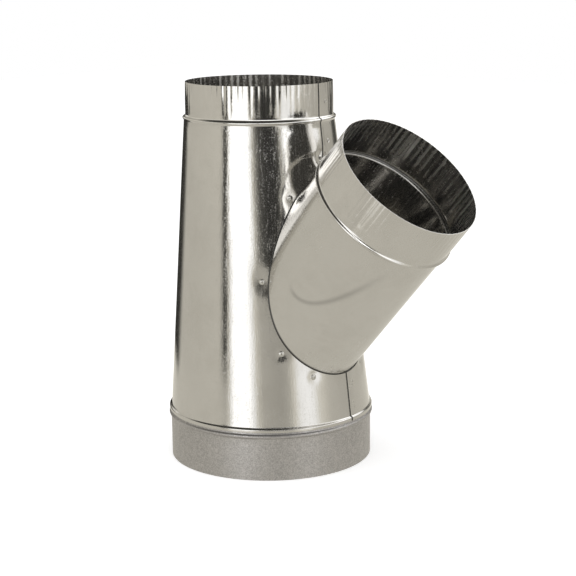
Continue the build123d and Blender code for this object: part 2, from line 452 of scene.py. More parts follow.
@dataclass(frozen=True)
class Run:
    """The tapered run: flared lip, offset cone with the saddle hole, bead and crimped spigot."""

    lip_edge: float = 48.6 * MM
    lip_skirt: float = 2.2 * MM
    lip_reach: float = 2.4 * MM
    lip_crest: float = 1.3 * MM
    lip_turn: float = radians(3.0)
    foot_height: float = 53.8 * MM
    foot_radius: float = 101.4 * MM
    head_radius: float = 75.2 * MM
    length: float = 287.5 * MM
    offset: float = -10.4 * MM
    seam_side: float = 4.2 * MM
    lap_width: float = 16.0 * MM
    spigot: Spigot = Spigot(75.2 * MM, 341.3 * MM, 1.2 * MM, 2.6 * MM, 3.5 * MM, 13.4 * MM, 18.3 * MM,
                            flute_depth=0.45 * MM, flute_power=2.4, flute_ease=0.7, flute_runout=0.35)
    columns: LapColumns = LapColumns(8 * FLUTES, 4, 20, 56)
    window_reach: int = 90
    window_low: float = 84.0 * MM
    window_high: float = 321.0 * MM
    window_rows: int = 31
    head_rows: int = 2
    patch_rows: int = 20
    patch_gather: float = 1.45
    welds: tuple[tuple[float, float, float], ...] = (
        (0.0966, 0.0119, 0.0861), (0.0971, 0.0112, 0.0828), (0.0978, 0.0071, 0.0802),
        (0.0993, 0.0112, 0.0651), (0.0999, 0.0105, 0.0616), (0.0657, 0.0143, 0.3235),
        (0.0600, 0.0216, 0.3391), (0.0617, 0.0150, 0.3612))

    def share(self, height: np.ndarray) -> np.ndarray:
        """Share of the way up the taper."""
        return (height - self.foot_height) / self.length

    def centre(self, height: np.ndarray) -> np.ndarray:
        """X of the run's centre at a height."""
        return self.offset * self.share(height)

    def radius(self, height: np.ndarray) -> np.ndarray:
        """Outside radius of the taper at a height."""
        return self.foot_radius + (self.head_radius - self.foot_radius) * self.share(height)

    def wall(self, angle: np.ndarray, height: np.ndarray, inset: np.ndarray) -> np.ndarray:
        """Points on the offset taper: the centre of their height plus the radius less the inset.

        Args:
            angle: Angles about the run's own centre.
            height: Heights.
            inset: Distances inwards from the outside.

        Returns:
            Points, with X, Y and Z on the last axis.
        """
        reach = self.radius(height) - inset
        x = self.centre(height) + reach * np.cos(angle)
        return np.stack([x, reach * np.sin(angle), height + 0 * x], axis=-1)

    def place(self, points: np.ndarray) -> tuple[np.ndarray, np.ndarray]:
        """Angle and height on the taper of points near it."""
        height = points[..., 2]
        return np.arctan2(points[..., 1], points[..., 0] - self.centre(height)), height

    def crossing(self, point_at: Callable[[np.ndarray], np.ndarray], low: np.ndarray, high: np.ndarray,
                 inset: float = 0.0) -> np.ndarray:
        """Stations at which lines cross the taper, found by halving, all lines at once.

        Outside the taper the far end moves in, and inside it the near end moves out.

        Args:
            point_at: Gives the lines' points at their stations.
            low: Stations inside the taper.
            high: Stations outside it.
            inset: Distance of the crossed surface inside the run's outside.

        Returns:
            The stations.
        """
        for _ in range(40):
            middle = (low + high) / 2
            point = point_at(middle)
            reach = np.hypot(point[..., 0] - self.centre(point[..., 2]), point[..., 1])
            outside = reach > self.radius(point[..., 2]) - inset
            high = np.where(outside, middle, high)
            low = np.where(outside, low, middle)
        return (low + high) / 2

    def dented(self, points: np.ndarray, dents: "Dents") -> np.ndarray:
        """Pulls points of a sheet that lies against the taper in with the dents, without the waves."""
        angle, _ = self.place(points)
        inward = np.stack([np.cos(angle), np.sin(angle), 0 * angle], axis=-1)
        return points - inward * dents.depth_at(points)[..., None]

    def dressed(self, points: np.ndarray, dents: "Dents") -> np.ndarray:
        """Moves points of the taper by the sheet's slight waves and by the dents of the rivets.

        The waves are three products of cosines of the angle and the height, under a tenth of a
        millimetre high, and die out towards the lip and the bead.

        Args:
            points: Points on or near the taper.
            dents: The dents around the rivets.

        Returns:
            The moved points.
        """
        angle, height = self.place(points)
        share = self.share(height)
        hold = smooth_step(0.0, 0.12, share) * smooth_step(1.0, 0.93, share)
        wave = (0.050 * np.cos(3 * angle + 0.7) * np.cos(7.0 * share + 0.4)
                + 0.035 * np.cos(7 * angle + 2.1) * np.cos(11.0 * share + 1.9)
                + 0.018 * np.cos(13 * angle + 4.0) * np.cos(19.0 * share + 0.8))
        move = MM * wave * hold - dents.depth_at(points)
        out = np.stack([np.cos(angle), np.sin(angle), 0 * angle], axis=-1)
        return points + out * move[..., None]

    def lip(self, inset: float) -> np.ndarray:
        """The flared lip as radius and height pairs, from its cut edge up to the taper's foot."""
        crest = (self.foot_radius + self.lip_reach, self.lip_edge + self.lip_skirt)
        foot = (self.foot_radius, self.foot_height)
        flare = crest_arc(crest, self.lip_crest, inset, -self.lip_turn, turn_of(foot, crest), 8)
        drop = flare[0, 1] - self.lip_edge
        edge = np.array([[flare[0, 0] - drop * tan(self.lip_turn), self.lip_edge]])
        root = root_arc(foot, crest, self.lip_crest, inset, 6)[::-1]
        return np.concatenate([edge, flare, root[1:]])

    def seam_angles(self, radius: np.ndarray) -> np.ndarray:
        """Column angles of rows with the given radii, the cut edges kept at their own Y."""
        outer_at = np.arcsin(self.seam_side / radius)
        inner_at = np.arcsin((self.seam_side + self.lap_width) / radius)
        return self.columns.angles(outer_at, inner_at, self.window_reach - self.columns.inner_edge)

    def levels(self) -> tuple[np.ndarray, slice]:
        """Heights of the taper's rows from its foot to its head, and which of them the window takes."""
        share = np.array([0.25, 0.5, 0.75, 1.0])
        low = share * (self.window_low - self.foot_height) + self.foot_height
        middle = np.linspace(self.window_low, self.window_high, self.window_rows + 1)[1:]
        high = np.linspace(self.window_high, self.foot_height + self.length, self.head_rows + 2)[1:-1]
        return np.concatenate([low, middle, high]), slice(low.size - 1, low.size + middle.size)

    def lip_rows(self, off: np.ndarray) -> np.ndarray:
        """The lip's rows of points.

        Args:
            off: Inward offset of each column.

        Returns:
            An array of rows, columns, and X, Y and Z, up to and including the taper's foot.
        """
        outer = self.lip(0.0)
        radius, height = through_sheet(outer, self.lip(SHEET), off / SHEET)
        return turned(radius, height, self.seam_angles(outer[:, 0]))

    def layer(self, mesh: SheetMesh, saddle: "Saddle", dents: "Dents", off: np.ndarray,
              faces_out: bool) -> tuple[np.ndarray, np.ndarray]:
        """Adds one side of the sheet: lip, taper, bead and spigot, with the window filled up to the hole.

        Args:
            mesh: The mesh to add to.
            saddle: The curve of the hole.
            dents: The dents around the rivets.
            off: Inward offset of each column from the plain outside.
            faces_out: Whether it is the outside of the sheet.

        Returns:
            The indices of the rows from the lip's edge to the rim, and those of the hole's edge.
        """
        heights, rows = self.levels()
        angle = self.seam_angles(self.radius(heights))
        lip = self.lip_rows(off)
        taper = self.dressed(self.wall(angle, heights[:, None], off[None, :]), dents)
        top_angle = self.seam_angles(np.array([self.head_radius]))[0]
        top = self.spigot.rings(top_angle, off) + np.array([self.offset, 0.0, 0.0])
        # Painted shade along the seam's cut edge, on the outside only; the spigot adds painted shade and
        # rubbed lines on the inside.
        painted_shade = self.columns.painted_shade() * float(faces_out)
        shade = np.tile(painted_shade, (lip.shape[0] + taper.shape[0] + top.shape[0], 1))
        shade[-top.shape[0] :] += self.spigot.shades(top_angle, faces_out)
        index = mesh.add(np.concatenate([lip, taper, top]), shade.clip(-1.0, 1.0))

        inside = np.abs(self.columns.signed()) <= self.window_reach
        turn = np.argmax(~inside)
        back = inside.size - np.argmax(~inside[::-1])
        first, last = lip.shape[0] + rows.start, lip.shape[0] + rows.stop - 1
        mesh.skin(index[: first + 1], faces_out)
        mesh.skin(index[last:], faces_out)
        mesh.skin(index[first : last + 1, turn - 1 : back + 1], faces_out, wrap=False)

        order = np.concatenate([np.arange(back, inside.size), np.arange(turn)])

        def border(grid: np.ndarray) -> np.ndarray:
            """The window's border, once round: foot, far side, head and near side."""
            grid = np.broadcast_to(grid, angle[rows].shape)
            far, near = grid[1:-1, order[-1]], grid[1:-1, order[0]]
            return np.concatenate([grid[0, order], far, grid[-1, order[::-1]], near[::-1]])

        patch = self.patch(saddle, border(angle[rows]), border(heights[rows, None]), border(off), dents)
        filled = mesh.add(patch[:-1], border(painted_shade))
        mesh.skin(np.concatenate([filled, border(index[first : last + 1])[None, :]]), not faces_out)
        return index, filled[0]

    def build(self, saddle: "Saddle", dents: "Dents") -> bpy.types.Object:
        """Builds the whole sheet, outside and inside, closed at the lip, the rim and the hole.

        Args:
            saddle: The curve of the hole.
            dents: The dents around the rivets.

        Returns:
            The finished object.
        """
        mesh = SheetMesh()
        over, under = self.columns.lifts()
        outer, outer_hole = self.layer(mesh, saddle, dents, -over, True)
        inner, inner_hole = self.layer(mesh, saddle, dents, SHEET - under, False)
        mesh.close(outer, inner, True)
        mesh.skin(np.stack([outer_hole, inner_hole]), True)
        made = mesh.build("run_sheet")
        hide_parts("run_body")
        log.info("run sheet: %d faces", len(made.data.polygons))
        return made

    def patch(self, saddle: "Saddle", angle: np.ndarray, height: np.ndarray, off: np.ndarray,
              dents: "Dents") -> np.ndarray:
        """The sheet between the saddle hole and the window, as rings from the hole outwards.

        Each column joins a point of the hole to a point of the window in a straight line of angle
        and height; the rings lie close together near the hole, where the dents are.

        Args:
            saddle: The curve of the hole.
            angle: Angles of the window's points.
            height: Heights of the window's points.
            off: Inward offset of each column.
            dents: The dents around the rivets.

        Returns:
            An array of rings, columns, and X, Y and Z.
        """
        border = self.wall(angle, height, 0 * angle)
        turn = saddle.turn_to(border)
        hole_angle, hole_height = self.place(saddle.hole(turn))
        share = np.linspace(0.02, 1.0, self.patch_rows) ** self.patch_gather
        share = np.concatenate([[0.0], share])[:, None]
        mixed_angle = hole_angle + (angle - hole_angle) * share
        mixed_height = hole_height + (height - hole_height) * share
        return self.dressed(self.wall(mixed_angle, mixed_height, off[None, :] + 0 * share), dents)


# The branch, its saddle and the rivets


@dataclass(frozen=True)
class Branch:
    """The slanted branch: oval foot with its flange, ruled tube, bead and crimped spigot."""

    tilt: float = radians(41.3)
    cross_height: float = 100.4 * MM
    foot_station: float = 30.0 * MM
    foot_half_height: float = 74.1 * MM
    foot_half_width: float = 62.7 * MM
    radius: float = 72.5 * MM
    flange_width: float = 9.0 * MM
    flange_crotch_extra: float = 8.0 * MM
    flange_rows: tuple[float, ...] = (1.0, 0.8, 0.6, 0.45, 0.32, 0.22, 0.15, 0.10)
    fold: float = 0.9 * MM
    seam_angle: float = radians(0.8)
    lap_angle: float = radians(13.5)
    spigot: Spigot = Spigot(72.5 * MM, 216.9 * MM, 2.9 * MM, 3.4 * MM, 3.4 * MM, 8.0 * MM, 33.6 * MM,
                            flute_depth=0.26 * MM, flute_power=3.5, flute_ease=0.06, rows=13)
    columns: LapColumns = LapColumns(10 * FLUTES, 2, 26, 60)
    seam_reach: int = 60
    weld_radius: float = 73.0 * MM
    weld_places: tuple[tuple[float, float], ...] = ((6.0, 259.0), (6.5, 242.0), (7.0, 205.0))

    def laid(self, local: np.ndarray) -> np.ndarray:
        """Moves points from the branch's own upright frame into the part's frame.

        The local X axis points to the crotch, Z runs out along the branch, and Y is the part's -Y.

        Args:
            local: Points in the branch's frame.

        Returns:
            The same points in the part's frame.
        """
        c, s = cos(self.tilt), sin(self.tilt)
        x, y, z = local[..., 0], local[..., 1], local[..., 2]
        return np.stack([s * z - c * x, -y, self.cross_height + c * z + s * x], axis=-1)

    def local(self, points: np.ndarray) -> np.ndarray:
        """Moves points from the part's frame into the branch's own."""
        c, s = cos(self.tilt), sin(self.tilt)
        x, y, z = points[..., 0], points[..., 1], points[..., 2] - self.cross_height
        return np.stack([s * z - c * x, -y, s * x + c * z], axis=-1)

    def welds(self) -> tuple[tuple[float, ...], ...]:
        """Points of the seam's spot welds, from their turns in degrees and stations in millimetres."""
        turn, station = np.radians(np.array(self.weld_places)[:, 0]), np.array(self.weld_places)[:, 1] * MM
        ring = np.stack([np.cos(turn), np.sin(turn)], axis=-1) * self.weld_radius
        return tuple(map(tuple, self.laid(np.column_stack([ring, station])).tolist()))

    def halves(self, station: np.ndarray) -> tuple[np.ndarray, np.ndarray]:
        """Half height and half width of the oval tube at distances along its axis."""
        share = (station - self.foot_station) / (self.spigot.foot_height - self.foot_station)
        return (self.foot_half_height + (self.radius - self.foot_half_height) * share,
                self.foot_half_width + (self.radius - self.foot_half_width) * share)

    def tube(self, turn: np.ndarray, station: np.ndarray, grow: np.ndarray, extra: np.ndarray) -> np.ndarray:
        """Points on the ruled tube, grown all round and, further, on the crotch's side.

        Each ruling joins the point of the foot's ellipse and the point of the head's circle that have
        the same turn.

        Args:
            turn: Turn about the branch's axis, 0 at the crotch.
            station: Distances along the axis.
            grow: Growth all round.
            extra: Growth on the crotch's side, half of it a shift and half of it reach.

        Returns:
            Points in the branch's own frame.
        """
        high, wide = self.halves(station)
        x = (high + grow + extra / 2) * np.cos(turn) + extra / 2
        return np.stack([x, (wide + grow) * np.sin(turn), station + 0 * x], axis=-1)

    def meets(self, run: Run, turn: np.ndarray, grow: np.ndarray, extra: np.ndarray,
              inset: float) -> np.ndarray:
        """Stations at which the rulings of the grown tube cross the run's taper.

        Args:
            run: The run.
            turn: Turns of the rulings.
            grow: Growth of the tube.
            extra: Growth on the crotch's side.
            inset: Distance of the crossed surface inside the run's outside.

        Returns:
            The stations, in the shape of turn and grow together.
        """
        def point_at(station: np.ndarray) -> np.ndarray:
            """Points of the rulings at their stations."""
            return self.laid(self.tube(turn, station, grow, extra))

        low = np.full(np.broadcast(turn, grow).shape, self.foot_station)
        high = np.full_like(low, self.spigot.foot_height)
        return run.crossing(point_at, low, high, inset)

    def layer(self, mesh: SheetMesh, run: Run, dents: "Dents", lift: np.ndarray,
              faces_out: bool) -> np.ndarray:
        """Adds one side of the sheet: flange, fold, tube, bead and spigot.

        The fold is a curve with one control point, where the tube would meet the flange's surface.

        Args:
            mesh: The mesh to add to.
            run: The run that carries the branch.
            dents: The dents around the rivets.
            lift: Height of each column over the plain sheet at the lap seam.
            faces_out: Whether it is the outside of the sheet.

        Returns:
            The indices of the rows, from the flange's edge to the rim.
        """
        inset = 0.0 if faces_out else SHEET
        edges = np.array([self.seam_angle]), np.array([self.lap_angle])
        turn = self.columns.angles(*edges, self.seam_reach)[0]
        off = inset - lift
        under = SHEET + SLIP_GAP + inset
        width = np.array(self.flange_rows)[:, None]
        grow = self.flange_width * width - inset * (1 - width) + 0 * turn
        extra = self.flange_crotch_extra * width + 0 * turn
        flange = self.laid(self.tube(turn, self.meets(run, turn, grow, extra, under), grow, extra))

        corner = self.meets(run, turn, -off, 0 * off, under)
        start = corner + (self.fold + inset)
        first = self.laid(self.tube(turn, start, -off, 0 * off))
        knee = self.laid(self.tube(turn, corner, -off, 0 * off))
        bend = np.array([0.2, 0.4, 0.6, 0.8])[:, None, None]
        fold = flange[-1] * (1 - bend) ** 2 + 2 * knee * bend * (1 - bend) + first * bend**2

        up = np.concatenate([[0.0, 0.008, 0.02], np.linspace(0.05, 1.0, 21)])[:, None]
        station = start + (self.spigot.foot_height - start) * up
        tube = self.laid(self.tube(turn, station, -off, 0 * station))
        foot = run.dented(np.concatenate([flange, fold, tube]), dents)
        head = self.laid(self.spigot.rings(turn, off))
        covered = flange.shape[0] + fold.shape[0]
        # Painted shade over the flange and the fold, which lie in the gap under the run's hole, fading on the
        # tube's first row.
        painted_gap_shade = np.zeros((foot.shape[0] + head.shape[0], 1))
        painted_gap_shade[:covered] = 1.0
        painted_gap_shade[covered] = 0.75
        shade = np.maximum(painted_gap_shade, self.columns.painted_shade()) * float(faces_out)
        shade[foot.shape[0] :] += self.spigot.shades(turn, faces_out)
        index = mesh.add(np.concatenate([foot, head]), shade.clip(-1.0, 1.0))
        mesh.skin(index, not faces_out)
        return index

    def build(self, run: Run, dents: "Dents") -> bpy.types.Object:
        """Builds flange, fold, tube, bead and spigot as one closed sheet.

        Args:
            run: The run that carries the branch.
            dents: The dents around the rivets.

        Returns:
            The finished object.
        """
        mesh = SheetMesh()
        over, under = self.columns.lifts()
        outer = self.layer(mesh, run, dents, over, True)
        inner = self.layer(mesh, run, dents, under, False)
        mesh.close(outer, inner, False)
        made = mesh.build("branch_sheet")
        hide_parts("branch_pipe")
        log.info("branch sheet: %d faces", len(made.data.polygons))
        return made


@dataclass(frozen=True)
class Saddle:
    """The line where the branch passes through the run."""

    run: Run
    branch: Branch
    gap: float = 0.9 * MM
    half_widths: tuple[float, float] = (64.3 * MM, 71.2 * MM)

    def hole(self, turn: np.ndarray) -> np.ndarray:
        """Points of the hole's edge on the run's outside, one for each turn about the branch."""
        grow = np.full_like(turn, self.gap)
        station = self.branch.meets(self.run, turn, grow, 0 * turn, 0.0)
        return self.branch.laid(self.branch.tube(turn, station, grow, 0 * turn))

    def turn_to(self, border: np.ndarray) -> np.ndarray:
        """Turns about the branch that face points around the hole.

        A point above or below the hole, within a hand's breadth of the middle, faces the point of the
        hole with its own Y; the others face along the ray from the branch's axis.

        Args:
            border: Points around the hole.

        Returns:
            One turn for each point.
        """
        local = self.branch.local(border)
        x, y = local[..., 0], local[..., 1]
        ray = np.arctan2(y / self.branch.foot_half_width, x / self.branch.foot_half_height)
        wide = np.interp(x, [-120 * MM, 120 * MM], self.half_widths)
        level = np.arcsin(np.clip(y / wide, -0.99, 0.99))
        level = np.where(x < 0, pi - level, level)
        level = (level + pi) % (2 * pi) - pi
        near = 1.0 - smooth_step(10 * MM, 45 * MM, np.abs(border[..., 1]))
        apart = (level - ray + pi) % (2 * pi) - pi
        return ray + near * apart


@dataclass(frozen=True)
class RivetSeat:
    """Where one rivet stands: its point on the run's outside, the way it faces and how hard it pulls."""

    point: np.ndarray
    out: np.ndarray
    pull: float = 1.0


@dataclass(frozen=True)
class Dents:
    """Shallow dents that the rivets pull into the sheet around them."""

    seats: list[RivetSeat]
    depth: float = 0.85 * MM
    spread: float = 4.8 * MM

    def depth_at(self, points: np.ndarray) -> np.ndarray:
        """Depth at each point: a bell curve of its distance from each seat, added up."""
        total = np.zeros(points.shape[:-1])
        for seat in self.seats:
            apart = np.sum((points - seat.point) ** 2, axis=-1)
            total = total + self.depth * seat.pull * np.exp(-apart / (2 * self.spread**2))
        return total


@dataclass(frozen=True)
class Rivets:
    """The blind rivets around the saddle: one at the crotch and the others in pairs."""

    run: Run
    branch: Branch
    turns: tuple[float, ...] = (31.0, 71.0, 120.0, 151.0)
    inset: float = 5.5 * MM
    crotch_inset: float = 12.8 * MM
    shank: float = 1.6 * MM
    head: float = 2.9 * MM
    rise: float = 1.1 * MM
    tail: float = 2.3 * MM
    tail_length: float = 3.2 * MM
    clearance: float = 0.06 * MM
    pin_hole: float = 0.85 * MM
    crotch_pull: float = 2.4

    def seats(self) -> list[RivetSeat]:
        """Finds the seats on the run's outside.

        Returns:
            The crotch's seat and a left and a right one for each turn.
        """
        turns = np.array([0.0] + [side * radians(turn) for turn in self.turns for side in (-1, 1)])
        clear = np.array([self.crotch_inset] + [self.inset] * (2 * len(self.turns)))
        low = np.full_like(turns, self.branch.foot_station)
        high = np.full_like(turns, self.branch.spigot.foot_height)

        def point_at(station: np.ndarray) -> np.ndarray:
            """Points clear of the branch at their stations."""
            return self.branch.laid(self.clear_of(turns, station, clear))

        point = point_at(self.run.crossing(point_at, low, high))
        angle, _ = self.run.place(point)
        centre_lean = self.run.offset / self.run.length
        radius_lean = (self.run.head_radius - self.run.foot_radius) / self.run.length
        lean = -(np.cos(angle) * centre_lean + radius_lean)
        out = np.stack([np.cos(angle), np.sin(angle), lean], axis=-1)
        out /= np.linalg.norm(out, axis=-1, keepdims=True)
        pulls = [self.crotch_pull] + [1.0] * (2 * len(self.turns))
        return [RivetSeat(*seat) for seat in zip(point, out, pulls)]

    def clear_of(self, turn: np.ndarray, station: np.ndarray, clear: np.ndarray) -> np.ndarray:
        """Points at a distance clear of the oval tube, along rays from the branch's axis."""
        high, wide = self.branch.halves(station)
        reach = high * wide / np.hypot(wide * np.cos(turn), high * np.sin(turn)) + clear
        return np.stack([reach * np.cos(turn), reach * np.sin(turn), station], axis=-1)

    def section(self) -> np.ndarray:
        """Radius and height pairs of one rivet, from the tail's end to the pin hole's floor.

        The head is the cap of a sphere through its rim and its top, cut by the hole of the pin.
        """
        under = self.clearance
        over = -(2 * SHEET + SLIP_GAP) - 2 * self.clearance
        end = over - self.tail_length
        ball = (self.head**2 + self.rise**2) / (2 * self.rise)
        radius = np.linspace(self.head, self.pin_hole, 9)
        cap = under + self.rise - ball + np.sqrt(ball**2 - radius**2)
        below = [[0.0, end], [self.shank, end], [self.tail, end + self.shank / 2], [self.tail, over],
                 [self.shank, over], [self.shank, under], [self.head - 0.1 * MM, under]]
        floor = under + 0.25 * MM
        hollow = [[self.pin_hole - 0.12 * MM, cap[-1] - 0.12 * MM], [self.pin_hole - 0.15 * MM, floor],
                  [0.0, floor]]
        return np.concatenate([below, np.stack([radius, cap], axis=-1), hollow])

    def build(self, seats: list[RivetSeat], dents: Dents) -> bpy.types.Object:
        """Turns the section about each seat's own axis, sunk into its dent.

        Args:
            seats: Where the rivets stand.
            dents: The dents that they stand in.

        Returns:
            One object with all the rivets.
        """
        mesh = SheetMesh()
        profile = self.section()
        angle = np.linspace(0.0, 2 * pi, 40, endpoint=False)
        for seat in seats:
            across = np.cross(seat.out, [0.0, 0.0, 1.0])
            across /= np.linalg.norm(across)
            up = np.cross(seat.out, across)
            around = np.cos(angle)[:, None] * across + np.sin(angle)[:, None] * up
            foot = seat.point - seat.out * dents.depth_at(seat.point)
            grid = foot + profile[:, :1, None] * around[None] + profile[:, 1:, None] * seat.out
            mesh.skin(mesh.add(grid), True)
        made = mesh.build("blind_rivets", radians(50.0))
        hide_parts("saddle_rivets")
        log.info("blind rivets: %d", len(seats))
        return made


@dataclass(frozen=True)
class Collar:
    """The plain base collar with its bead, its neck and the sleeve inside the run."""

    run: Run
    radius: float = 102.2 * MM
    bead_height: float = 44.4 * MM
    bead_rise: float = 2.0 * MM
    half_width: float = 3.2 * MM
    crest_curve: float = 1.9 * MM
    neck_height: float = 5.2 * MM
    sleeve_length: float = 13.0 * MM
    seam_angle: float = radians(150.0)
    seam_reach: int = 20
    seam_fade: tuple[float, float] = (51.5 * MM, 48.0 * MM)
    # Heights over which painted shade rises in the gap under the run's lip.
    covered: tuple[float, float] = (47.9 * MM, 48.6 * MM)
    columns: LapColumns = LapColumns(480, 4, 16, 16)

    def section(self, inset: float) -> np.ndarray:
        """Radius and height pairs of the collar, from its rim to the taper's foot.

        Args:
            inset: Distance inwards from the outside of the sheet.

        Returns:
            The plain wall, the bead's arcs, the neck and the sleeve's start.
        """
        roots = [(self.radius, self.bead_height + side * self.half_width) for side in (-1, 1)]
        crest = (self.radius + self.bead_rise, self.bead_height)
        wall = np.stack([np.full(6, self.radius - inset), np.linspace(0.0, roots[0][1], 6)], axis=-1)
        bead = bead_arcs(roots[0], crest, roots[1], self.crest_curve, inset)
        sleeve = self.run.foot_radius - SHEET - SLIP_GAP - inset
        top = np.array([[sleeve, self.bead_height + self.half_width + self.neck_height],
                        [sleeve, self.run.foot_height]])
        under_lip = bead[-1:] + (top[:1] - bead[-1:]) * np.array([[0.1], [0.2]])
        return np.concatenate([wall[:-1], bead, under_lip, top])

    def layer(self, mesh: SheetMesh, lift: np.ndarray, faces_out: bool) -> np.ndarray:
        """Adds one side of the sheet: wall, bead, neck and sleeve.

        The lap seam's lift dies out over the fade, under the run's lip.

        Args:
            mesh: The mesh to add to.
            lift: Height of each column over the plain sheet at the lap seam.
            faces_out: Whether it is the outside of the sheet.

        Returns:
            The indices of the rows, from the collar's edge to the sleeve's.
        """
        inset = 0.0 if faces_out else SHEET
        pitch = 2 * pi / self.columns.count
        edges = [np.array([i * pitch]) for i in (self.columns.outer_edge, self.columns.inner_edge)]
        angle = self.columns.angles(*edges, self.seam_reach)[0] + self.seam_angle
        outer = self.section(0.0)
        hold = smooth_step(*self.seam_fade, outer[:, 1])[:, None]
        radius, height = through_sheet(outer, self.section(SHEET), (inset - lift * hold) / SHEET)
        ring = turned(radius, height, angle)
        levels = self.run.foot_height + self.sleeve_length * np.array([0.5, 1.0])[:, None]
        tuck = self.run.wall(angle, levels, SHEET + SLIP_GAP + inset)
        levels = np.concatenate([outer[:, 1], [self.run.foot_height] * 2])
        # Painted shade in the gap under the run's lip and along the seam's cut edge, on the outside only.
        covered = smooth_step(*self.covered, levels)[:, None]
        shade = np.maximum(covered, self.columns.painted_shade()) * float(faces_out)
        index = mesh.add(np.concatenate([ring, tuck]), shade)
        mesh.skin(index, faces_out)
        return index

    def build(self) -> bpy.types.Object:
        """Builds the collar, whose lap seam is at the back and ends under the run's lip.

        Returns:
            The finished object.
        """
        mesh = SheetMesh()
        over, under = self.columns.lifts()
        outer = self.layer(mesh, over, True)
        inner = self.layer(mesh, under, False)
        mesh.close(outer, inner, True)
        made = mesh.build("collar_sheet")
        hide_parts("base_collar")
        log.info("collar sheet: %d faces", len(made.data.polygons))
        return made


# Shader maths


class Value:
    """Wraps a number socket, so that Python's operators add Math nodes to its tree."""

    def __init__(self, graph: "Graph", socket: bpy.types.NodeSocket) -> None:
        """Keeps the graph and the socket that the value comes from."""
        self.graph = graph
        self.socket = socket

    def maths(self, operation: str, *terms: "Value | float", first: bool = True) -> "Value":
        """Adds one Math node.

        Args:
            operation: The node's operation.
            terms: The other inputs.
            first: Whether this value is the first input, or the last.

        Returns:
            The node's result.
        """
        inputs = [self, *terms] if first else [*terms, self]
        return self.graph.value("ShaderNodeMath", {"operation": operation}, dict(enumerate(inputs)))

    def __add__(self, other: "Value | float") -> "Value":
        """Sum."""
        return self.maths("ADD", other)

    __radd__ = __add__

    def __sub__(self, other: "Value | float") -> "Value":
        """Difference."""
        return self.maths("SUBTRACT", other)

    def __rsub__(self, other: "Value | float") -> "Value":
        """Difference with this value taken away."""
        return self.maths("SUBTRACT", other, first=False)

    def __mul__(self, other: "Value | float") -> "Value":
        """Product."""
        return self.maths("MULTIPLY", other)

    __rmul__ = __mul__

    def __truediv__(self, other: "Value | float") -> "Value":
        """Quotient."""
        return self.maths("DIVIDE", other)

    def __pow__(self, other: "Value | float") -> "Value":
        """Power."""
        return self.maths("POWER", other)

    def between(self, low: float, high: float) -> "Value":
        """A smooth step from 0 at low to 1 at high."""
        settings = {"interpolation_type": "SMOOTHSTEP"}
        inputs = {"Value": self, "From Min": low, "From Max": high}
        return self.graph.value("ShaderNodeMapRange", settings, inputs)


class Graph:
    """Adds nodes to one material's or world's tree."""

    def __init__(self, tree: bpy.types.NodeTree) -> None:
        """Clears the tree and keeps it."""
        tree.nodes.clear()
        self.tree = tree

    def node(self, kind: str, settings: dict | None = None, inputs: dict | None = None) -> bpy.types.Node:
        """Adds a node, sets it up and then fills its sockets.

        Args:
            kind: The node's type.
            settings: Properties; "stops" gives a ramp's positions and grey levels.
            inputs: Socket names or numbers, each with a value, a Value or another socket.

        Returns:
            The node.
        """
        made = self.tree.nodes.new(kind)
        for name, setting in (settings or {}).items():
            if name == "stops":
                self.fill_ramp(made.color_ramp, setting)
            else:
                setattr(made, name, setting)
        for name, given in (inputs or {}).items():
            socket = given.socket if isinstance(given, Value) else given
            if isinstance(socket, bpy.types.NodeSocket):
                self.tree.links.new(socket, made.inputs[name])
            else:
                made.inputs[name].default_value = socket
        return made

    def fill_ramp(self, ramp: bpy.types.ColorRamp, stops: list[tuple[float, float]]) -> None:
        """Gives a ramp its stops, from positions and grey levels."""
        while len(ramp.elements) > 1:
            ramp.elements.remove(ramp.elements[-1])
        for number, (position, level) in enumerate(stops):
            element = ramp.elements[0] if number == 0 else ramp.elements.new(position)
            element.position = position
            element.color = (level, level, level, 1.0)

    def value(self, kind: str, settings: dict | None = None, inputs: dict | None = None,
              output: int | str = 0) -> Value:
        """Adds a node and wraps one of its outputs."""
        return Value(self, self.node(kind, settings, inputs).outputs[output])

    def mixed(self, share: Value, first: object, second: object) -> bpy.types.NodeSocket:
        """Mixes two colours, each a tuple or a socket, by a share of the second."""
        settings = {"data_type": "RGBA"}
        made = self.node("ShaderNodeMix", settings, {0: share, 6: first, 7: second})
        return made.outputs[2]

    def noise(self, where: object, scale: float, detail: float = 2.0, roughness: float = 0.5) -> Value:
        """Adds a noise texture over the given coordinates."""
        inputs = {"Vector": where, "Scale": scale, "Detail": detail, "Roughness": roughness}
        return self.value("ShaderNodeTexNoise", None, inputs)

    def metal(self, color: bpy.types.NodeSocket, metallic: float, rough: Value, bump: tuple[float, float],
              height: Value) -> None:
        """Ends the graph with a bumped metal surface.

        Args:
            color: The base colour.
            metallic: How metallic it is, the same all over.
            rough: The roughness.
            bump: Strength of the bump and its height in metres.
            height: Where the bump stands high.
        """
        inputs = {"Strength": bump[0], "Distance": bump[1], "Height": height}
        normal = self.node("ShaderNodeBump", None, inputs).outputs[0]
        inputs = {"Base Color": color, "Metallic": metallic, "Roughness": rough, "Normal": normal}
        shader = self.node("ShaderNodeBsdfPrincipled", None, inputs)
        self.node("ShaderNodeOutputMaterial", None, {"Surface": shader.outputs[0]})


# Finishes


def new_material(name: str) -> tuple[bpy.types.Material, Graph, bpy.types.NodeSocket]:
    """Starts a node material and gives its graph and the object's coordinates with it."""
    made = bpy.data.materials.new(name)
    made.use_nodes = True
    graph = Graph(made.node_tree)
    return made, graph, graph.node("ShaderNodeTexCoord").outputs["Object"]


class Grain(Enum):
    """Which way the sheet's fine rolling lines run, as stretches of the X, Y and Z coordinates."""

    UP = (1.0, 1.0, 0.10)
    ALONG_BRANCH = (1.0, 1.0, 0.12)


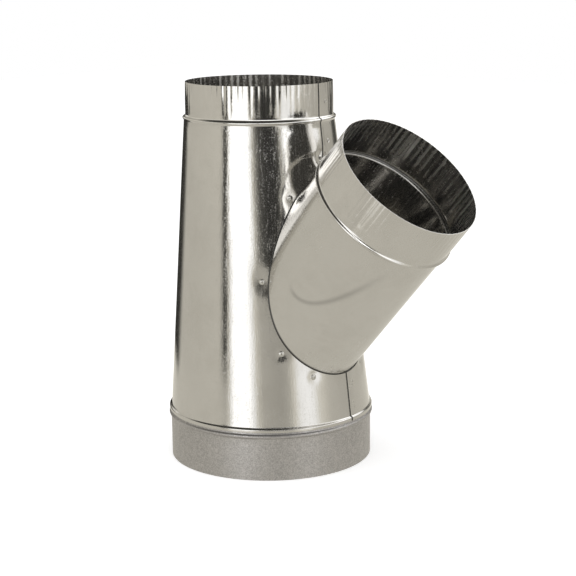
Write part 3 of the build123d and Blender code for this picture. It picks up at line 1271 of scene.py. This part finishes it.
@dataclass(frozen=True)
class BrightZinc:
    """Bright galvanised sheet: a near mirror, broken up by fine grain, faint spangle and smudges, with
    painted shade in its gaps and hollows.
    """

    name: str
    grain: Grain
    lean: float = 0.0
    color: tuple[float, float, float] = (0.636, 0.624, 0.600)
    stain: tuple[float, float, float] = (0.540, 0.526, 0.496)
    shadow: tuple[float, float, float] = (0.03, 0.03, 0.028)
    roughness: float = 0.05
    smudge: float = 0.05
    grain_height: float = 0.36
    metallic: float = 0.985
    welds: tuple[tuple[float, ...], ...] = ()
    # Whether to paint the dark reflection line across the branch, and the line's shape.
    arc: bool = False
    arc_start: float = 124 * MM
    arc_shift: float = 12 * MM
    arc_bow: float = 27.0
    arc_curl: float = 3400.0

    def material(self) -> bpy.types.Material:
        """Builds the node material.

        Returns:
            The material.
        """
        made, graph, place = new_material(self.name)
        lean = {"Vector": place, "Rotation": (0.0, -self.lean, 0.0)}
        leaned = graph.node("ShaderNodeMapping", None, lean).outputs[0]
        lined = graph.node("ShaderNodeMapping", None, {"Vector": leaned, "Scale": self.grain.value})
        speck = graph.noise(place, 700.0, 2.0, 0.6)
        lines = graph.noise(lined.outputs[0], 520.0, 2.0, 0.6)
        cloud = graph.noise(place, 26.0, 3.0, 0.55)
        patch = graph.noise(place, 9.0, 2.0, 0.5)
        cell = graph.value("ShaderNodeTexVoronoi", None, {"Vector": place, "Scale": 150.0}, "Color")
        mark, ring = self.weld_marks(graph, place)
        # Painted shade from the sheet's attribute darkens the colour towards the shadow colour; below 0 it
        # marks rubbed dull lines, which only raise roughness.
        level = graph.value("ShaderNodeAttribute", {"attribute_name": "painted_shade"}, None, "Fac")
        painted_shade, rubbed = level.maths("MAXIMUM", 0.0), (level * -1.0).maths("MAXIMUM", 0.0)
        tone = cloud.between(0.35, 0.75) * 0.35 + (speck - 0.5) * 0.5 + (cell - 0.5) * 0.16
        # Painted dark reflection line across the near side of the branch.
        arc_painted_shade = self.painted_shade_arc(graph, place) if self.arc else 0.0
        plain = graph.mixed(tone + mark * 0.8, self.color + (1.0,), self.stain + (1.0,))
        shade = graph.mixed(painted_shade * 0.93 + arc_painted_shade * 0.26, plain, self.shadow + (1.0,))
        scratch = (speck * 0.55 + lines * 0.45).between(0.50, 0.64)
        rough = (self.roughness + self.smudge * patch.between(0.35, 0.7) + scratch * 0.17
                 + (cell - 0.5) * 0.02 + mark * 0.30 + painted_shade * 0.25 + rubbed * 0.38)
        height = speck * 0.5 + lines * 0.5 - ring * 4.0
        graph.metal(shade, self.metallic, rough, (self.grain_height, 0.2 * MM), height)
        return made

    def painted_shade_arc(self, graph: Graph, place: bpy.types.NodeSocket) -> Value:
        """A soft line of painted shade, a darker streak of the sheet's reflection, that sweeps over the near
        side of the branch.

        The line's station grows with the square and the fourth power of the distance across the axis.
        A point's distance from it is its offset in station over the length of the slope's normal.

        Args:
            graph: The material's graph.
            place: Object coordinates.

        Returns:
            The line's weight, which dies out towards the bead.
        """
        x, y, z = (Value(graph, socket)
                   for socket in graph.node("ShaderNodeSeparateXYZ", None, {0: place}).outputs)
        c, s = cos(self.lean), sin(self.lean)
        station = x * s + (z - Branch.cross_height) * c
        across = (z - Branch.cross_height) * s - x * c + self.arc_shift
        bow = across * across
        off = station - self.arc_start - bow * self.arc_bow - bow * bow * self.arc_curl
        slope = across * (2 * self.arc_bow) + bow * across * (4 * self.arc_curl)
        apart = (off / (slope * slope + 1.0).maths("SQRT")).maths("ABSOLUTE")
        line = (1.0 - apart.between(0.0, 5.5 * MM)) ** 2.0
        front = 1.0 - y.between(-40 * MM, -30 * MM)
        low = 1.0 - station.between(150 * MM, 215 * MM)
        return line * front * low * (1.0 - across.between(0.0, 14 * MM))

    def weld_marks(self, graph: Graph, place: bpy.types.NodeSocket) -> tuple[Value, Value]:
        """Marks of the spot welds: a dull round patch and the shallow ring pressed around it.

        Args:
            graph: The material's graph.
            place: Object coordinates.

        Returns:
            The patch's weight and the ring's weight.
        """
        patches, rings = [], []
        for spot in self.welds:
            settings = {"operation": "DISTANCE"}
            apart = graph.value("ShaderNodeVectorMath", settings, {0: place, 1: spot}, "Value")
            inner = 1.0 - apart.between(0.9 * MM, 1.8 * MM)
            patches.append(inner)
            rings.append((1.0 - apart.between(1.6 * MM, 2.6 * MM)) - inner)
        return sum(patches), sum(rings)


@dataclass(frozen=True)
class DullZinc:
    """Dull galvanised sheet of the base collar: a soft grey sheen with mottled spangle."""

    name: str
    light: tuple[float, float, float] = (0.540, 0.524, 0.515)
    dark: tuple[float, float, float] = (0.345, 0.334, 0.326)
    shadow: tuple[float, float, float] = (0.03, 0.03, 0.028)
    roughness: float = 0.40
    metallic: float = 0.92

    def material(self) -> bpy.types.Material:
        """Builds the node material.

        Returns:
            The material.
        """
        made, graph, place = new_material(self.name)
        warp = graph.node("ShaderNodeTexNoise", None, {"Vector": place, "Scale": 90.0, "Detail": 2.0})
        pushed = {0: 0.012, 4: place, 5: warp.outputs["Color"]}
        moved = graph.node("ShaderNodeMix", {"data_type": "VECTOR"}, pushed).outputs[1]
        cell = graph.value("ShaderNodeTexVoronoi", None, {"Vector": moved, "Scale": 320.0}, "Color")
        speck = graph.noise(place, 800.0, 3.0, 0.75)
        cloud = graph.noise(place, 45.0, 3.0, 0.6)
        # Painted shade under the run's lip and along the seam, read from the sheet's attribute.
        painted_shade = graph.value("ShaderNodeAttribute", {"attribute_name": "painted_shade"}, None, "Fac")
        tone = (cell - 0.5) * 0.22 + (speck - 0.5) * 3.4 + (cloud - 0.5) * 0.3 + 0.55
        plain = graph.mixed(tone.between(-0.1, 1.1), self.light + (1.0,), self.dark + (1.0,))
        shade = graph.mixed(painted_shade * 0.93, plain, self.shadow + (1.0,))
        rough = self.roughness + (cell - 0.5) * 0.14 + (speck - 0.5) * 0.16
        graph.metal(shade, self.metallic, rough, (0.22, 0.3 * MM), speck)
        return made


@dataclass(frozen=True)
class RivetMetal:
    """Plain soft metal of the blind rivets, with small scuffs."""

    name: str
    color: tuple[float, float, float] = (0.60, 0.59, 0.56)
    scuff: tuple[float, float, float] = (0.40, 0.39, 0.36)
    metallic: float = 1.0

    def material(self) -> bpy.types.Material:
        """Builds the node material.

        Returns:
            The material.
        """
        made, graph, place = new_material(self.name)
        speck = graph.noise(place, 1100.0, 3.0, 0.6)
        shade = graph.mixed(speck.between(0.45, 0.75), self.color + (1.0,), self.scuff + (1.0,))
        rough = 0.22 + speck.between(0.3, 0.8) * 0.25
        graph.metal(shade, self.metallic, rough, (0.15, 0.2 * MM), speck)
        return made


# The studio


Stops = tuple[tuple[float, float], ...]


@dataclass(frozen=True)
class Studio:
    """White paper floor, soft light, a round wall of strip lights that only metal mirrors, and the camera.

    The stops give a value to each azimuth in degrees: a brightness, or for the parting the height at
    which the middle ring ends, for the sill the height above -0.2 at which it starts, and for the
    ceiling's edge the elevation, in hundreds of degrees, at which its panels end.
    """

    grey: tuple[float, float, float] = (1.0, 0.960, 0.850)
    wall_radius: float = 1.0
    wall_low: float = -0.5
    wall_high: float = 0.56
    wall_sides: int = 96
    sill_foot: float = -0.2
    floor_level: float = 0.68
    paper_half: float = 4.0
    paper_top: float = -0.3 * MM
    focal_length: float = 96.6227
    eye: tuple[float, float, float] = (1.010016, -1.153836, 0.503273)
    aim: tuple[float, float, float] = (77.720897, 0.570935, 40.368361)
    upper: Stops = (
        (0, 2.00), (9, 1.80), (20, 1.50), (34, 1.35), (44, 1.40), (49, 0.90), (54, 0.34), (60, 0.58),
        (82, 0.52), (87, 0.10), (103, 0.06), (108, 0.55), (113, 0.60), (118, 0.12), (146, 0.06),
        (154, 0.50), (160, 1.10), (168, 1.00), (174, 0.66), (182, 0.65), (252, 0.74), (256, 0.55),
        (258, 0.06), (262, 0.06), (264, 0.80), (267, 1.90), (293, 1.90), (299, 0.80), (303, 0.30),
        (308, 0.08), (318, 0.03), (331, 0.03), (336, 0.10), (341, 0.80), (346, 1.90))
    middle: Stops = (
        (0, 1.25), (6, 0.90), (13, 0.78), (20, 0.64), (50, 0.55), (62, 0.64), (108, 0.62), (115, 0.90),
        (127, 1.40), (131, 0.60), (134, 0.06), (158, 0.03), (172, 0.05), (178, 0.30), (184, 0.63),
        (252, 0.70), (256, 0.50), (258, 0.08), (262, 0.08), (264, 0.60), (267, 1.10), (271, 1.80),
        (288, 1.80), (293, 1.30), (298, 0.78), (304, 0.55), (324, 0.46), (332, 0.54), (338, 0.86),
        (344, 1.20), (352, 1.30))
    lower: Stops = (
        (0, 0.62), (60, 0.62), (100, 0.72), (114, 0.98), (145, 0.95), (156, 0.74), (180, 0.68),
        (254, 0.68), (262, 0.60), (270, 1.10), (288, 1.20), (298, 0.62), (306, 0.52), (333, 0.54),
        (345, 1.05), (354, 1.10))
    parting: Stops = (
        (0, 0.350), (52, 0.350), (62, 0.255), (82, 0.255), (86, 0.190), (112, 0.190), (118, 0.255),
        (132, 0.255), (140, 0.310), (170, 0.310), (180, 0.255), (292, 0.250), (298, 0.200),
        (306, 0.225), (318, 0.180), (330, 0.240), (340, 0.335))
    sill: Stops = (
        (0, 0.115), (125, 0.115), (132, 0.080), (176, 0.080), (186, 0.115), (248, 0.115), (253, 0.220),
        (264, 0.220), (268, 0.115))
    ceiling: Stops = (
        (0, 0.90), (40, 0.90), (60, 1.40), (95, 1.20), (120, 0.30), (150, 0.30), (180, 0.55), (265, 0.65),
        (288, 0.80), (298, 1.80), (330, 1.90), (345, 1.20))
    ceiling_edge: Stops = (
        (0, 0.40), (50, 0.50), (100, 0.50), (130, 0.40), (280, 0.36), (305, 0.32), (330, 0.34))

    def ring(self, graph: Graph, around: Value, stops: Stops) -> Value:
        """Looks a value up by azimuth, in straight lines between the stops and round to the first.

        Args:
            graph: The graph to add to.
            around: Azimuth as a share of a whole turn.
            stops: Azimuths in degrees, each with a value up to 2.

        Returns:
            The value.
        """
        closed = [(place / 360.0, value / 2.0) for place, value in stops + ((360.0, stops[0][1]),)]
        middle = len(closed) // 2
        early, late = (graph.value("ShaderNodeValToRGB", {"stops": part}, {"Fac": around})
                       for part in (closed[: middle + 1], closed[middle:]))
        later = around.maths("GREATER_THAN", closed[middle][0])
        return (early * (1.0 - later) + late * later) * 2.0

    def azimuth(self, graph: Graph, place: bpy.types.NodeSocket) -> tuple[Value, Value]:
        """Splits coordinates into the azimuth, as a share of a turn, and Z."""
        way = graph.node("ShaderNodeSeparateXYZ", None, {0: place})
        x, y, z = (Value(graph, socket) for socket in way.outputs)
        return (y.maths("ARCTAN2", x) / (2 * pi) + 1.0).maths("FRACT"), z

    def wall(self) -> None:
        """Stands the round wall about the part.

        Its brightness goes by azimuth and height: the upper ring lies above the parting's height, the
        middle ring below it, the lower ring under the sill, and the even floor at the foot.
        """
        near = np.arange(self.wall_sides)
        far = (near + 1) % self.wall_sides
        turn = near * (2 * pi / self.wall_sides)
        x, y = self.wall_radius * np.cos(turn), self.wall_radius * np.sin(turn)
        rings = [np.stack([x, y, 0 * x + z], axis=-1) for z in (self.wall_low, self.wall_high)]
        quads = np.stack([far, near, near + self.wall_sides, far + self.wall_sides], axis=-1)
        mesh = bpy.data.meshes.new("strip_wall")
        mesh.from_pydata(np.concatenate(rings).tolist(), [], quads.tolist())
        made, graph, place = new_material("strip_lights")
        made.cycles.emission_sampling = "NONE"
        around, height = self.azimuth(graph, place)
        upper, middle, lower, parting, sill = (self.ring(graph, around, stops) for stops in (
            self.upper, self.middle, self.lower, self.parting, self.sill))
        over = (height - parting).between(-0.02, 0.02)
        under = 1.0 - (height - self.sill_foot - sill).between(-0.025, 0.025)
        deep = 1.0 - height.between(-0.36, -0.24)
        level = (upper * over + middle * (1.0 - over)) * (1.0 - under) + lower * under
        level = level * (1.0 - deep) + deep * self.floor_level
        tint = graph.mixed(level.between(0.75, 1.3), self.grey + (1.0,), WHITE)
        light = graph.node("ShaderNodeEmission", None, {"Color": tint, "Strength": level})
        graph.node("ShaderNodeOutputMaterial", None, {"Surface": light.outputs[0]})
        mesh.materials.append(made)
        wall = bpy.data.objects.new("strip_wall", mesh)
        bpy.context.scene.collection.objects.link(wall)
        wall.visible_camera = wall.visible_diffuse = wall.visible_shadow = False

    def world(self) -> None:
        """Lights the scene beyond the wall.

        Mirrored rays that pass over the wall see bright panels that end in a dark ceiling, and those
        that pass under it an even floor. Diffuse rays see an even pale grey and the camera sees white.
        """
        made = bpy.data.worlds.new("studio_surroundings")
        bpy.context.scene.world = made
        made.use_nodes = True
        graph = Graph(made.node_tree)
        around, z = self.azimuth(graph, graph.node("ShaderNodeTexCoord").outputs["Generated"])
        rise = z.maths("ARCSINE") * (180.0 / pi)
        high = (rise * 0.01 - self.ring(graph, around, self.ceiling_edge)).between(-0.09, 0.09)
        over = self.ring(graph, around, self.ceiling) * 1.5 * (1.0 - high) + high * 0.06
        above = rise.between(-1.0, 1.0)
        level = over * above + (1.0 - above) * self.floor_level
        path = graph.node("ShaderNodeLightPath")
        seen = Value(graph, path.outputs["Is Camera Ray"])
        soft = Value(graph, path.outputs["Is Diffuse Ray"])
        level = level * (1.0 - soft) + soft * 0.80
        neutral = seen.maths("MAXIMUM", soft).maths("MAXIMUM", level.between(0.75, 1.3))
        tint = graph.mixed(neutral, self.grey + (1.0,), WHITE)
        strength = level * (1.0 - seen) + seen
        back = graph.node("ShaderNodeBackground", None, {"Color": tint, "Strength": strength})
        graph.node("ShaderNodeOutputWorld", None, {"Surface": back.outputs[0]})

    def floor(self) -> None:
        """Lays the white paper, which the camera sees as white apart from the part's soft shadow."""
        half, top = self.paper_half, self.paper_top
        corners = [(-half, -half, top), (half, -half, top), (half, half, top), (-half, half, top)]
        mesh = bpy.data.meshes.new("paper_floor")
        mesh.from_pydata(corners, [], [(0, 1, 2, 3)])
        paper = bpy.data.objects.new("paper_floor", mesh)
        bpy.context.scene.collection.objects.link(paper)
        made = bpy.data.materials.new("white_paper")
        made.use_nodes = True
        graph = Graph(made.node_tree)
        seen = graph.value("ShaderNodeLightPath", None, None, "Is Camera Ray")
        diffuse = graph.node("ShaderNodeBsdfDiffuse", None, {"Color": (0.80, 0.80, 0.80, 1.0)})
        glow = graph.node("ShaderNodeEmission", None, {"Color": WHITE, "Strength": seen * 0.42})
        both = graph.node("ShaderNodeAddShader", None, {0: diffuse.outputs[0], 1: glow.outputs[0]})
        graph.node("ShaderNodeOutputMaterial", None, {"Surface": both.outputs[0]})
        mesh.materials.append(made)
        paper.visible_glossy = False

    def lamp(self) -> None:
        """Hangs one large soft lamp over the part; the metal doesn't mirror it."""
        light = bpy.data.lights.new("soft_lamp", "AREA")
        light.shape = "DISK"
        light.size = 1.6
        light.energy = 9.0
        lamp = bpy.data.objects.new("soft_lamp", light)
        lamp.location = (0.2, -0.5, 1.9)
        lamp.rotation_euler = (radians(14.0), radians(6.0), 0.0)
        lamp.visible_glossy = False
        bpy.context.scene.collection.objects.link(lamp)

    def camera(self) -> None:
        """Places the camera at the photograph's viewpoint, with its field of view."""
        lens = bpy.data.cameras.new("camera")
        lens.lens, lens.sensor_width = self.focal_length, 36.0
        lens.clip_start, lens.clip_end = 0.05, 50.0
        made = bpy.data.objects.new("camera", lens)
        made.location = self.eye
        made.rotation_euler = tuple(radians(turn) for turn in self.aim)
        bpy.context.scene.collection.objects.link(made)
        bpy.context.scene.camera = made

    def build(self) -> None:
        """Sets up world, wall, floor, lamp and camera."""
        self.world()
        self.wall()
        self.floor()
        self.lamp()
        self.camera()
        bpy.context.scene.view_settings.view_transform = "Standard"
        log.info("studio ready")


def main() -> None:
    """Loads the frame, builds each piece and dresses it."""
    logging.basicConfig(level=logging.INFO, format="%(message)s")
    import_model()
    run = Run()
    branch = Branch()
    rivets = Rivets(run, branch)
    seats = rivets.seats()
    dents = Dents(seats)
    run_finish = BrightZinc("bright_zinc_run", Grain.UP, welds=run.welds)
    branch_finish = BrightZinc("bright_zinc_branch", Grain.ALONG_BRANCH, lean=branch.tilt, roughness=0.08,
                               arc=True, welds=branch.welds())
    dressed = (
        (run.build(Saddle(run, branch), dents), run_finish),
        (branch.build(run, dents), branch_finish),
        (rivets.build(seats, dents), RivetMetal("rivet_metal")),
        (Collar(run).build(), DullZinc("dull_zinc")),
    )
    for piece, finish in dressed:
        piece.data.materials.append(finish.material())
        log.info("%s dressed with %s", piece.name, finish.name)
    Studio().build()


if __name__ == "__main__":
    main()
